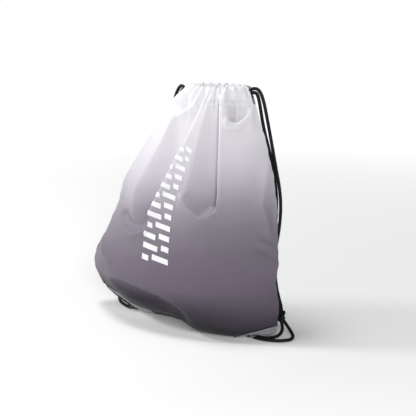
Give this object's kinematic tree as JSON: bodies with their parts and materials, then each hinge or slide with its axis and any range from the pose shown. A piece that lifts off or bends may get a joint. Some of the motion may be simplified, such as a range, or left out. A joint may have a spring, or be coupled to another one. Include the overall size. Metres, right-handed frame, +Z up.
{
  "type": "shoe bag",
  "caption": "Drawstring shoe bag of coated cloth, filled and standing, mouth drawn closed, with cord straps knotted through eyelets at reinforced corners.",
  "frame": {"origin": "centre of the bag's footprint box, on the surface it stands on, without its cords", "axes": "+Z up, +X to the right of the printed front, -Y out of the printed front"},
  "size_m": [0.3438, 0.1357, 0.364],
  "materials": {
    "coated_cloth": "coated weave, fading from white at the mouth to charcoal at the base, soft sheen",
    "corner_patch": "smooth imitation leather, semi gloss",
    "braided_cord": "black braided polyester",
    "eyelet_metal": "gunmetal plate",
    "print_film": "white heat-transfer film",
    "seam_binding": "woven binding tape",
    "thread": "polyester sewing thread"
  },
  "bodies": {
    "bag": {"back_drawstring_channel": "coated_cloth", "back_hem_stitching": "thread", "back_panel": "coated_cloth", "bottom_seam_binding": "seam_binding", "front_drawstring_channel": "coated_cloth", "front_hem_stitching": "thread", "front_panel": "coated_cloth", "front_print": "print_film", "left_back_corner_patch": "corner_patch", "left_cord_in_channel": "braided_cord", "left_corner_inner_leg": "braided_cord", "left_corner_outer_leg": "braided_cord", "left_eyelet": "eyelet_metal", "left_eyelet_washer": "eyelet_metal", "left_front_corner_patch": "corner_patch", "left_side_seam_binding": "seam_binding", "left_stopper_knot": "braided_cord", "left_tie_knot": "braided_cord", "right_back_corner_patch": "corner_patch", "right_cord_in_channel": "braided_cord", "right_corner_inner_leg": "braided_cord", "right_corner_outer_leg": "braided_cord", "right_eyelet": "eyelet_metal", "right_eyelet_washer": "eyelet_metal", "right_front_corner_patch": "corner_patch", "right_side_seam_binding": "seam_binding", "right_stopper_knot": "braided_cord", "right_tie_knot": "braided_cord"},
    "right_strap": {"right_strap_inner_strand": "braided_cord", "right_strap_outer_strand": "braided_cord"},
    "left_strap": {"left_strap_inner_strand": "braided_cord", "left_strap_outer_strand": "braided_cord"}
  },
  "joints": [
    {"name": "right_strap_swing", "type": "hinge", "parent": "bag", "child": "right_strap", "pos_m": [0.1015, 0.0256, 0.3575], "axis": [0.1705, -0.0139, -0.9853], "range_deg": [0, 45]},
    {"name": "left_strap_swing", "type": "hinge", "parent": "bag", "child": "left_strap", "pos_m": [-0.0145, 0.0256, 0.3498], "axis": [0.3508, -0.0364, 0.9358], "range_deg": [0, 45]}
  ]
}
